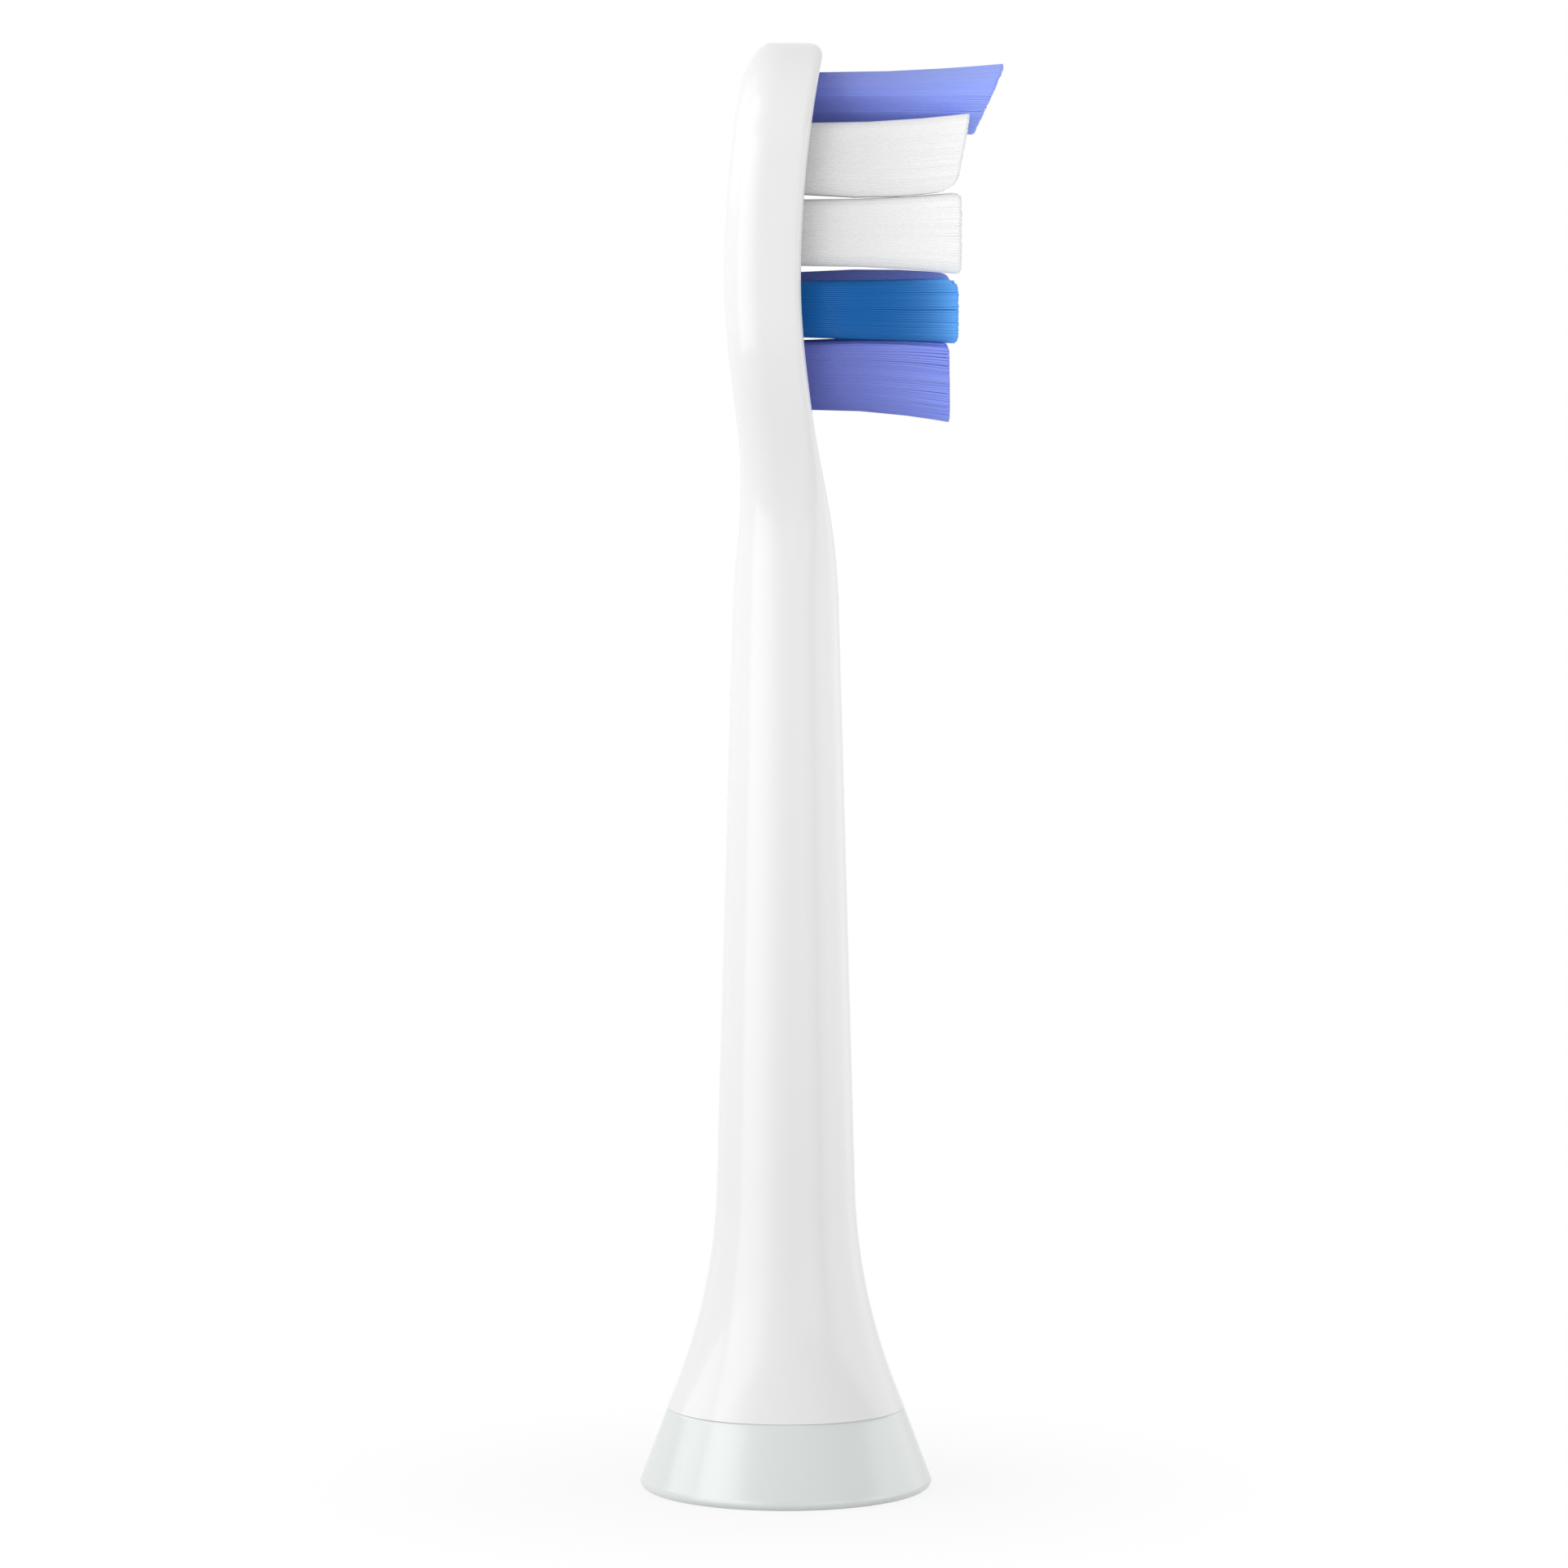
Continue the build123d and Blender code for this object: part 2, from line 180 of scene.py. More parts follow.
ripple_scale = math_node(skin_tree, "DIVIDE", 1.0, skin_in["Ripple Size"])
ripple = make_node(
    skin_tree, "ShaderNodeTexNoise", {"Vector": skin_place, "Scale": ripple_scale, "Detail": 2.0}
)
skin_tree.links.new(gloss.outputs[0], skin_out["Roughness"])
skin_tree.links.new(ripple.outputs[0], skin_out["Height"])
print("group", skin_tree.name, "has", len(skin_tree.nodes), "nodes")

# %% Plastics from the group
PLAIN_SHINE = 0.5
RING_SHINE = 0.9


def moulded_plastic(name, colour, smoothest, roughest, ripple_depth, shine=PLAIN_SHINE):
    """A plastic with the moulded skin; shine is how strongly it mirrors."""
    material, tree, shader = surface_material(name)
    skin = make_node(
        tree, "ShaderNodeGroup", {"Smoothest": smoothest, "Roughest": roughest}, node_tree=skin_tree
    )
    bump = make_node(
        tree, "ShaderNodeBump", {"Height": skin.outputs["Height"], "Strength": 1.0, "Distance": ripple_depth}
    )
    tree.links.new(skin.outputs["Roughness"], shader.inputs["Roughness"])
    tree.links.new(bump.outputs[0], shader.inputs["Normal"])
    shader.inputs["Base Color"].default_value = (*colour, 1.0)
    shader.inputs["Specular IOR Level"].default_value = shine
    print(name, "is", [round(part, 2) for part in colour])
    return material


white_plastic = moulded_plastic("white_plastic", (0.84, 0.84, 0.84), 0.10, 0.16, 0.000002)
grey_plastic = moulded_plastic("grey_plastic", (0.722, 0.759, 0.749), 0.12, 0.2, 0.000003, RING_SHINE)
dull_plastic = moulded_plastic("dull_plastic", (0.78, 0.78, 0.77), 0.35, 0.5, 0.000006)

# %% [markdown]
# ## Spring steel
# The leaf inside the hub is rolled strip. Rolling leaves fine lines along the strip, so the roughness
# follows a noise that is stretched along Z.

# %% The steel of the spring leaf
ROLL_LINES = (9000.0, 9000.0, 300.0)
STEEL_SMOOTHEST = 0.2
STEEL_ROUGHEST = 0.45
STEEL_COLOUR = (0.6, 0.6, 0.6, 1.0)

rolled_steel, steel_tree, steel = surface_material("rolled_steel")
steel_place = make_node(steel_tree, "ShaderNodeTexCoord").outputs["Object"]
stretched = make_node(steel_tree, "ShaderNodeMapping", {"Vector": steel_place, "Scale": ROLL_LINES})
lines = make_node(
    steel_tree, "ShaderNodeTexNoise", {"Vector": stretched.outputs[0], "Scale": 1.0, "Detail": 2.0}
)
line_gloss = make_node(
    steel_tree,
    "ShaderNodeMapRange",
    {"Value": lines.outputs[0], "To Min": STEEL_SMOOTHEST, "To Max": STEEL_ROUGHEST},
)
steel_tree.links.new(line_gloss.outputs[0], steel.inputs["Roughness"])
steel.inputs["Base Color"].default_value = STEEL_COLOUR
steel.inputs["Metallic"].default_value = 1.0
print("rolled_steel has", len(steel_tree.nodes), "nodes")

# %% [markdown]
# ## Nylon bristles
# A bundle lies in shade where it leaves the head and in light towards its cut ends, and this shade and
# light are painted into its colour: deep at the root and bright towards the cut. No two filaments are
# quite alike. The bundles made below carry two attributes for this: how far along its bristle a point
# lies, and a tone of its own for each bristle. One group turns them into a colour. Each material also
# gives a little of that colour out again, a painted glow that lifts the shade between the bristles.

# %% The bristle colour group
nylon_tree, nylon_in, nylon_out = open_group(
    "bristle_colour",
    "ShaderNodeTree",
    [
        ("Shaded Root Colour", "NodeSocketColor", (0.5, 0.5, 0.5, 1.0)),
        ("Lit Tip Colour", "NodeSocketColor", (0.9, 0.9, 0.9, 1.0)),
        ("Painted Light Bend", "NodeSocketFloat", 1.0),
        ("Tone Spread", "NodeSocketFloat", 0.15),
    ],
    [("Colour", "NodeSocketColor")],
)
share_read = make_node(nylon_tree, "ShaderNodeAttribute", attribute_name="bristle_share").outputs["Fac"]
tone_read = make_node(nylon_tree, "ShaderNodeAttribute", attribute_name="bristle_tone").outputs["Fac"]
# painted shade and light: the colour runs from dark at the root to bright towards the cut end
painted_light_share = math_node(nylon_tree, "POWER", share_read, nylon_in["Painted Light Bend"])
shaded_length_colour = make_node(
    nylon_tree,
    "ShaderNodeMix",
    {"Factor": painted_light_share, "A": nylon_in["Shaded Root Colour"], "B": nylon_in["Lit Tip Colour"]},
    data_type="RGBA",
)
tone = math_node(nylon_tree, "MULTIPLY_ADD", tone_read, nylon_in["Tone Spread"], 1.0)
toned = make_node(
    nylon_tree, "ShaderNodeVectorMath", {0: shaded_length_colour.outputs["Result"], 1: tone}, operation="MULTIPLY"
)
nylon_tree.links.new(toned.outputs[0], nylon_out["Colour"])
print("group", nylon_tree.name, "has", len(nylon_tree.nodes), "nodes")

# %% White, purple and a shaded copy of it, and blue
NYLON_ROUGHNESS = 0.35
NYLON_SHINE = 0.2
# painted glow: each nylon gives out a little of its own colour, which lifts the shade between bristles
PAINTED_GLOW = 0.08


def nylon(name, shaded_root_colour, lit_tip_colour, painted_light_bend, tone_spread):
    """A nylon with painted shade at its root and painted light towards its tip; a larger bend keeps the
    painted light nearer to the cut.
    """
    material, tree, shader = surface_material(name)
    colour = make_node(
        tree,
        "ShaderNodeGroup",
        {
            "Shaded Root Colour": (*shaded_root_colour, 1.0),
            "Lit Tip Colour": (*lit_tip_colour, 1.0),
            "Painted Light Bend": painted_light_bend,
            "Tone Spread": tone_spread,
        },
        node_tree=nylon_tree,
    ).outputs["Colour"]
    tree.links.new(colour, shader.inputs["Base Color"])
    # the painted glow, in the nylon's own colour
    tree.links.new(colour, shader.inputs["Emission Color"])
    shader.inputs["Emission Strength"].default_value = PAINTED_GLOW
    shader.inputs["Roughness"].default_value = NYLON_ROUGHNESS
    shader.inputs["Specular IOR Level"].default_value = NYLON_SHINE
    print(name, "runs from", shaded_root_colour, "to", lit_tip_colour)
    return material


# each nylon runs from painted shade at its root to painted light at its tip
white_nylon = nylon("white_nylon", (0.71, 0.71, 0.71), (0.9, 0.9, 0.9), 1.2, 0.03)
purple_nylon = nylon("purple_nylon", (0.15, 0.18, 0.57), (0.32, 0.41, 0.94), 0.9, 0.1)
# painted shade: a darker copy of the purple nylon, for the heel, which the lamps light less
shaded_purple_nylon = nylon("shaded_purple_nylon", (0.13, 0.157, 0.51), (0.28, 0.355, 0.91), 1.4, 0.1)
blue_nylon = nylon("blue_nylon", (0.005, 0.116, 0.39), (0.14, 0.46, 1.0), 6.0, 0.1)
BRISTLE_SLOTS = {
    "white_nylon": "white_bristles",
    "purple_nylon": "purple_bristles",
    "shaded_purple_nylon": "purple_bristles",
    "blue_nylon": "blue_bristles",
}

# %% [markdown]
# ## The moulding's rule
# The white body is one moulding, and its shape follows a rule: a round stem with a flare at its foot,
# which leans back, flattens and widens into the head, and ends in a round arch. Each level has a
# section, a rectangle with round corners. The rule is the one that the CAD model is lofted from, so the
# sizes below are the same ones, in millimetres.

# %% Sizes of the moulding
LENGTH = 76.4
RING_HEIGHT = 4.35
FLARE_TOP = 16.0
FLARE_RADIUS = 31.0
NECK_ROOT_RADIUS = 3.675
NECK_TOP_RADIUS = 2.8
NECK_ROUNDNESS = 0.97
NECK_TOP = LENGTH - 29.4
BEND_START = LENGTH - 26.4
THIN_HEIGHT = LENGTH - 18.9
WIDE_HEIGHT = LENGTH - 14.4
HEAD_MIDDLE = LENGTH - 12.4
HEAD_HALF_WIDTH = 5.75
HEAD_HALF_THICKNESS = 2.0
HEAD_SET_BACK = 1.22
HEAD_CURVE_RADIUS = 60.0
HEAD_BACK_EDGE = 1.9
HEAD_FRONT_EDGE = 0.5
TIP_BACK_EDGE = 1.15
TIP_BACK_FALL = 2.7
TIP_FRONT_EDGE = 0.9
TIP_FRONT_FALL = 0.9
ARCH_SPRING = LENGTH - HEAD_HALF_WIDTH
print("the neck is", round(NECK_TOP - FLARE_TOP, 1), "mm long")


# %% The rule as functions of height
def ease(height, start, end):
    """A share from 0 to 1 that leaves start and reaches end with no slope."""
    share = min(max((height - start) / (end - start), 0), 1)
    return share * share * (3 - 2 * share)


def edge_inset(depth, edge, fall):
    """How far an edge rounded over a fall stands back from its corner, at a depth below it."""
    left = max(1 - depth / fall, 0)
    return edge * (1 - math.sqrt(1 - left**2))


def neck_radius(height):
    """The round stem, which tapers upwards and flares below."""
    taper = (NECK_ROOT_RADIUS - NECK_TOP_RADIUS) / (NECK_TOP - FLARE_TOP)
    below = max(FLARE_TOP - height, 0)
    flare = FLARE_RADIUS - math.sqrt(FLARE_RADIUS**2 - below**2)
    return NECK_ROOT_RADIUS - taper * (height - FLARE_TOP) + flare


def back_and_front(height):
    """The section's two faces in x; the bristles stand on the front one."""
    above = max(height - HEAD_MIDDLE, 0)
    middle = above**2 / (2 * HEAD_CURVE_RADIUS) - HEAD_SET_BACK * ease(height, BEND_START, HEAD_MIDDLE)
    thinning = ease(height, NECK_TOP, THIN_HEIGHT)
    half_depth = neck_radius(height) * (1 - thinning) + HEAD_HALF_THICKNESS * thinning
    back = middle - half_depth + edge_inset(LENGTH - height, TIP_BACK_EDGE, TIP_BACK_FALL)
    front = middle + half_depth - edge_inset(LENGTH - height, TIP_FRONT_EDGE, TIP_FRONT_FALL)
    return back, front


def half_width(height):
    """Half the section in y, up to the arch and along it."""
    if height > ARCH_SPRING:
        return math.sqrt(max(HEAD_HALF_WIDTH**2 - (height - ARCH_SPRING) ** 2, 0))
    widening = ease(height, BEND_START, WIDE_HEIGHT)
    return neck_radius(height) * (1 - widening) + HEAD_HALF_WIDTH * widening


def corner_radii(height):
    """The section's round corners: full in the neck, small at the front of the head."""
    back, front = back_and_front(height)
    full_round = NECK_ROUNDNESS * min((front - back) / 2, half_width(height))
    thinning = ease(height, NECK_TOP, THIN_HEIGHT)
    back_corner = full_round * (1 - thinning) + HEAD_BACK_EDGE * thinning
    front_corner = full_round * (1 - thinning) + HEAD_FRONT_EDGE * thinning
    return min(back_corner, full_round), min(front_corner, full_round)


print("head reaches from x =", [round(x, 2) for x in back_and_front(HEAD_MIDDLE)], "mm")

# %% [markdown]
# ## The moulding's mesh
# The CAD mesh is true but has narrow triangles, and a glossy skin shows them. The same rule, sampled
# closely, gives an even net of quads that a highlight runs over without a kink. The net closes at the
# tip. At the foot it turns inwards, up the inside of the skirt and into the socket of the drive hub, so
# that the wall has its real thickness.

# %% Points of one section
CORNER_STEPS = 12


def section_points(height):
    """The section's outline, anticlockwise from the front corner on the +Y side."""
    back, front = back_and_front(height)
    wide = half_width(height)
    back_corner, front_corner = corner_radii(height)
    corners = [
        (front - front_corner, wide - front_corner, front_corner, 0),
        (back + back_corner, wide - back_corner, back_corner, 90),
        (back + back_corner, back_corner - wide, back_corner, 180),
        (front - front_corner, front_corner - wide, front_corner, 270),
    ]
    points = []
    for x, y, radius, start in corners:
        for step in range(CORNER_STEPS + 1):
            turn = math.radians(start + 90 * step / CORNER_STEPS)
            points.append(Vector((x + radius * math.cos(turn), y + radius * math.sin(turn), height)))
    return points


def evenly(start, end, count):
    """Evenly spaced heights from start up to, but without, end."""
    return [start + (end - start) * i / count for i in range(count)]


print("a section has", len(section_points(HEAD_MIDDLE)), "points")

# %% Net of the moulding
SKIRT_WALL = 0.7
SKIRT_CEILING = 7.2
SOCKET_ROOT_RADIUS = 2.83
SOCKET_TOP_RADIUS = 2.73
SOCKET_TOP = 19.83
FLARE_STEPS = 24
NECK_STEPS = 16
HEAD_STEPS = 64
ARCH_STEPS = 30
ARCH_END = 88.0

heights = evenly(RING_HEIGHT, FLARE_TOP, FLARE_STEPS)
heights += evenly(FLARE_TOP, NECK_TOP, NECK_STEPS)
heights += evenly(NECK_TOP, ARCH_SPRING, HEAD_STEPS)
arch_turns = [math.radians(ARCH_END * i / ARCH_STEPS) for i in range(ARCH_STEPS + 1)]
heights += [ARCH_SPRING + HEAD_HALF_WIDTH * math.sin(turn) for turn in arch_turns]


def round_row(radius, height, beside):
    """A round row inside the moulding, with each point facing its partner in the row beside it."""
    outwards = [Vector((point.x, point.y, 0)).normalized() for point in beside]
    return [way * radius + Vector((0, 0, height)) for way in outwards]


outer_rows = [section_points(height) for height in heights]
foot = outer_rows[0]
inner_rows = [
    round_row(SOCKET_TOP_RADIUS, SOCKET_TOP, foot),
    round_row(SOCKET_ROOT_RADIUS, SKIRT_CEILING, foot),
    round_row(neck_radius(SKIRT_CEILING) - SKIRT_WALL, SKIRT_CEILING, foot),
    round_row(neck_radius(RING_HEIGHT) - SKIRT_WALL, RING_HEIGHT, foot),
]
print("the net has", len(inner_rows) + len(outer_rows), "rows")

# %% From rows of points to a piece
BODY_SHARP_ANGLE = 38


def add_piece(name, mesh, material, slot, *nodes):
    """An object at the origin that rides on the body and stands for its CAD nodes."""
    mesh.materials.clear()
    mesh.materials.append(material)
    piece = bpy.data.objects.new(name, mesh)
    bpy.context.scene.collection.objects.link(piece)
    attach(piece, "root")
    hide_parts(*nodes)


def mesh_from_rows(name, rows, closed, sharp_angle):
    """Quads between neighbouring rows; the row ends are capped, or joined to each other if closed."""
    net = bmesh.new()
    placed = [[net.verts.new(point * MM) for point in row] for row in rows]
    pairs = list(zip(placed, placed[1:])) + ([(placed[-1], placed[0])] if closed else [])
    for low, high in pairs:
        for i in range(len(low)):
            j = (i + 1) % len(low)
            net.faces.new((low[i], low[j], high[j], high[i]))
    if not closed:
        net.faces.new(list(reversed(placed[0])))
        net.faces.new(placed[-1])
    bmesh.ops.recalc_face_normals(net, faces=net.faces)
    for face in net.faces:
        face.smooth = True
    mesh = bpy.data.meshes.new(name)
    net.to_mesh(mesh)
    net.free()
    mesh.set_sharp_from_angle(angle=math.radians(sharp_angle))
    return mesh


body_mesh = mesh_from_rows("white_body", inner_rows + outer_rows, closed=False, sharp_angle=BODY_SHARP_ANGLE)
add_piece("white_body", body_mesh, white_plastic, "white_moulding", "brush_body")
print("white_body has", len(body_mesh.polygons), "faces")

# %% [markdown]
# ## The base ring
# A separate ring in pale grey closes the skirt, and its spigot laps inside. It is a turned shape, so it
# is made by carrying one profile round the axis. The rim that stands on the handle is rounded, and a
# fine bevel at the top makes the seam line under the white skirt. The cone between them has extra rows
# near both ends, which keep the smooth shading of the round edges from spreading over it.

# %% Turn the ring
BASE_RADIUS = 7.75
BASE_EDGE = 0.35
RING_WALL = 1.3
LAP_CLEARANCE = 0.04
SPIGOT_TOP = 6.95
SEAM_BEVEL = 0.06
CONE_ROWS = (0.05, 0.97, 1.0)
TURN_STEPS = 144
EDGE_STEPS = 6
RING_SHARP_ANGLE = 30

seam_radius = neck_radius(RING_HEIGHT)
ring_profile = [(seam_radius - RING_WALL, RING_HEIGHT), (BASE_RADIUS - RING_WALL, 0.0)]
for step in range(EDGE_STEPS + 1):
    turn = math.radians(90 * step / EDGE_STEPS)
    ring_profile.append((BASE_RADIUS - BASE_EDGE * (1 - math.sin(turn)), BASE_EDGE * (1 - math.cos(turn))))
cone_low = Vector((BASE_RADIUS, BASE_EDGE))
cone_high = Vector((seam_radius, RING_HEIGHT - SEAM_BEVEL))
ring_profile += [cone_low.lerp(cone_high, share) for share in CONE_ROWS]
ring_profile += [
    (seam_radius - SEAM_BEVEL, RING_HEIGHT),
    (seam_radius - SKIRT_WALL - LAP_CLEARANCE, RING_HEIGHT),
    (neck_radius(SPIGOT_TOP) - SKIRT_WALL - LAP_CLEARANCE, SPIGOT_TOP),
    (neck_radius(SPIGOT_TOP) - RING_WALL, SPIGOT_TOP),
]
directions = [math.tau * i / TURN_STEPS for i in range(TURN_STEPS)]
ring_rows = [
    [Vector((radius * math.cos(turn), radius * math.sin(turn), height)) for turn in directions]
    for radius, height in ring_profile
]
ring_mesh = mesh_from_rows("grey_base_ring", ring_rows, closed=True, sharp_angle=RING_SHARP_ANGLE)
add_piece("grey_base_ring", ring_mesh, grey_plastic, "grey_ring", "base_ring")
print("grey_base_ring has", len(ring_mesh.polygons), "faces")

# %% [markdown]
# ## The drive hub and its spring
# Two pieces inside the socket are seen only from below. Their CAD shapes are right as they are, so they
# keep them and get their materials.

# %% Dress the inner pieces
for node_name, material in (("drive_hub", dull_plastic), ("spring_clip", rolled_steel)):
    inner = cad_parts[node_name]
    inner.data.materials.clear()
    inner.data.materials.append(material)
    print(node_name, "is", material.name)

# %% [markdown]
# ## Bristles by Geometry Nodes
# A bundle is hundreds of filaments that leave one small pocket, fan out a little and are cut to a slope.
# Modelling them by hand is hopeless, and hair curves would not export, so a node tree does it. A first
# row of points follows the pocket's edge, because the outer filaments of a packed bundle touch and make
# a smooth wall, and scattered points fill the middle. A thin rod is placed on each point. Every rod is
# then stretched to the cut and bent by the fan, with a little straying at the tips. All sizes are inputs
# of the tree, so one tree makes all eleven bundles.

# %% Inputs of the bristle tree
BRISTLE_SIZES = [
    "Low", "High", "Near", "Far",
    "Fan Near", "Fan Far", "Fan Low", "Fan High",
    "Belly Low", "Belly High", "Reach Low", "Reach High", "Round Low", "Round High",
    "Root Depth", "Spacing", "Radius", "Stray", "Clump Size", "Clump Stray", "Length Spread",
]
bundle_inputs = [
    ("Pocket", "NodeSocketGeometry", None),
    ("Nylon", "NodeSocketMaterial", None),
    ("Seed", "NodeSocketInt", 1),
]
bundle_inputs += [(size_name, "NodeSocketFloat", 0.0) for size_name in BRISTLE_SIZES]
bristle_tree, size_in, bristle_out = open_group(
    "bristle_bundle", "GeometryNodeTree", bundle_inputs, [("Bristles", "NodeSocketGeometry")]
)
print("the tree has", len(bristle_tree.interface.items_tree), "sockets")


# %% Helpers for the bristle tree
def bristle_node(kind, sockets=None, **settings):
    """A node of the bristle tree."""
    return make_node(bristle_tree, kind, sockets, **settings)


def maths(operation, *values):
    """The result of a Math node of the bristle tree."""
    return math_node(bristle_tree, operation, *values)


def named(name, kind):
    """Reads an attribute by its name."""
    read = bristle_node("GeometryNodeInputNamedAttribute", {"Name": name}, data_type=kind)
    return read.outputs["Attribute"]


def stored(geometry, name, kind, value):
    """Keeps a value on each point, under a name."""
    return bristle_node(
        "GeometryNodeStoreNamedAttribute",
        {"Geometry": geometry, "Name": name, "Value": value},
        data_type=kind,
        domain="POINT",
    ).outputs["Geometry"]


def parts_of(vector):
    """The x, y and z of a vector."""
    return bristle_node("ShaderNodeSeparateXYZ", {0: vector}).outputs


def between(low, high, share):
    """A value that runs from low to high."""
    return maths("MULTIPLY_ADD", maths("SUBTRACT", high, low), share, low)


def share_of(value, low, high):
    """How far a value lies on the way from low to high."""
    return maths("DIVIDE", maths("SUBTRACT", value, low), maths("SUBTRACT", high, low))


# %% Where the bristles stand
EDGE_ROW_CLEAR = 0.85
EDGE_CROWDING = 0.99
TRIES_PER_BRISTLE = 12.0

pocket_in = size_in["Pocket"]
spacing = size_in["Spacing"]
edge_loop = bristle_node("GeometryNodeMeshToCurve", {"Mesh": pocket_in})
edge_points = bristle_node(
    "GeometryNodeCurveToPoints",
    {"Curve": edge_loop.outputs[0], "Length": maths("MULTIPLY", spacing, EDGE_CROWDING)},
    mode="LENGTH",
)
tries = maths("DIVIDE", TRIES_PER_BRISTLE, maths("MULTIPLY", spacing, spacing))
inside_points = bristle_node(
    "GeometryNodeDistributePointsOnFaces",
    {"Mesh": pocket_in, "Distance Min": spacing, "Density Max": tries, "Seed": size_in["Seed"]},
    distribute_method="POISSON",
)
to_edge = bristle_node("GeometryNodeProximity", {"Geometry": pocket_in}, target_element="EDGES")
edge_room = maths("MULTIPLY", spacing, EDGE_ROW_CLEAR)
too_near = maths("LESS_THAN", to_edge.outputs["Distance"], edge_room)
thinned = bristle_node(
    "GeometryNodeDeleteGeometry", {"Geometry": inside_points.outputs[0], "Selection": too_near}
)
all_points = bristle_node("GeometryNodeJoinGeometry")
bristle_tree.links.new(thinned.outputs[0], all_points.inputs[0])
bristle_tree.links.new(edge_points.outputs[0], all_points.inputs[0])
print("edge row and inside points are laid out")

# %% A rod on every point
ROD_SIDES = 5
ROD_SEGMENTS = 5
ROD_FACES = ROD_SIDES * ROD_SEGMENTS + 2
CLUMP_GAIN = 3.0

place = bristle_node("GeometryNodeInputPosition").outputs[0]
wander = bristle_node(
    "FunctionNodeRandomValue",
    {0: (-1.0, -1.0, -1.0), 1: (1.0, 1.0, 1.0), "Seed": size_in["Seed"]},
    data_type="FLOAT_VECTOR",
).outputs[0]
clump_scale = maths("DIVIDE", 1.0, size_in["Clump Size"])
clump_noise = bristle_node(
    "ShaderNodeTexNoise",
    {"Vector": place, "W": size_in["Seed"], "Scale": clump_scale},
    noise_dimensions="4D",
).outputs["Color"]
clumps = bristle_node(
    "ShaderNodeVectorMath",
    {0: clump_noise, 1: (CLUMP_GAIN,) * 3, 2: (-CLUMP_GAIN / 2,) * 3},
    operation="MULTIPLY_ADD",
).outputs[0]
tones = bristle_node(
    "FunctionNodeRandomValue", {2: -1.0, 3: 1.0, "Seed": size_in["Seed"]}, data_type="FLOAT"
).outputs[1]
points = stored(all_points.outputs[0], "bristle_root", "FLOAT_VECTOR", place)
points = stored(points, "bristle_stray", "FLOAT_VECTOR", wander)
points = stored(points, "bristle_clump", "FLOAT_VECTOR", clumps)
points = stored(points, "bristle_tone", "FLOAT", tones)
rod = bristle_node(
    "GeometryNodeMeshCylinder",
    {"Vertices": ROD_SIDES, "Side Segments": ROD_SEGMENTS, "Radius": 1.0, "Depth": 1.0},
)
rod = stored(rod.outputs[0], "bristle_rod", "FLOAT_VECTOR", place)
rods = bristle_node("GeometryNodeInstanceOnPoints", {"Points": points, "Instance": rod})
solid_rods = bristle_node("GeometryNodeRealizeInstances", {"Geometry": rods.outputs[0]}).outputs[0]
print("a rod has", ROD_FACES, "faces")

# %% [markdown]
# ## Length, bend and thickness of a bristle
# Each rod stands one unit high, so its own height says how far along the bristle a point lies. The
# levels are crowded towards the tip, where the cut shows. A bristle reaches to the cut, which slopes
# from the low edge of its bundle to the high one and is rounded at both. It bends by the square of the
# way along it, as a thin rod does that is held at its root.

# %% How far a bristle reaches
X, Y, Z = 0, 1, 2
ROD_BOTTOM = -0.5
TIP_CROWDING = 2.5


def rounded_off(distance, radius):
    """How much a bristle is cut shorter near a rounded edge of the bundle's end."""
    over = maths("MAXIMUM", maths("SUBTRACT", radius, distance), 0.0)
    squares = maths("SUBTRACT", maths("MULTIPLY", radius, radius), maths("MULTIPLY", over, over))
    return maths("SUBTRACT", radius, maths("SQRT", maths("MAXIMUM", squares, 0.0)))


root = parts_of(named("bristle_root", "FLOAT_VECTOR"))
stray = parts_of(named("bristle_stray", "FLOAT_VECTOR"))
clump = parts_of(named("bristle_clump", "FLOAT_VECTOR"))
rod_place = parts_of(named("bristle_rod", "FLOAT_VECTOR"))
even_share = maths("SUBTRACT", rod_place[Z], ROD_BOTTOM)
share = maths("SUBTRACT", 1.0, maths("POWER", maths("SUBTRACT", 1.0, even_share), TIP_CROWDING))
along = share_of(root[Z], size_in["Low"], size_in["High"])
across = share_of(root[Y], size_in["Near"], size_in["Far"])

from_low = maths("SUBTRACT", root[Z], size_in["Low"])
from_high = maths("SUBTRACT", size_in["High"], root[Z])
reach = between(size_in["Reach Low"], size_in["Reach High"], along)
reach = maths("SUBTRACT", reach, rounded_off(from_low, size_in["Round Low"]))
reach = maths("SUBTRACT", reach, rounded_off(from_high, size_in["Round High"]))
reach = maths("MULTIPLY_ADD", stray[X], size_in["Length Spread"], reach)
out_of_head = between(maths("MULTIPLY", size_in["Root Depth"], -1.0), reach, share)
free_share = maths("MAXIMUM", maths("DIVIDE", out_of_head, reach), 0.0)
print("the reach takes", len(bristle_tree.nodes), "nodes so far")

# %% How far a bristle bends
TAPER_START = 0.98
TIP_TAPER = 0.9
BELLY_PEAK = 4.0

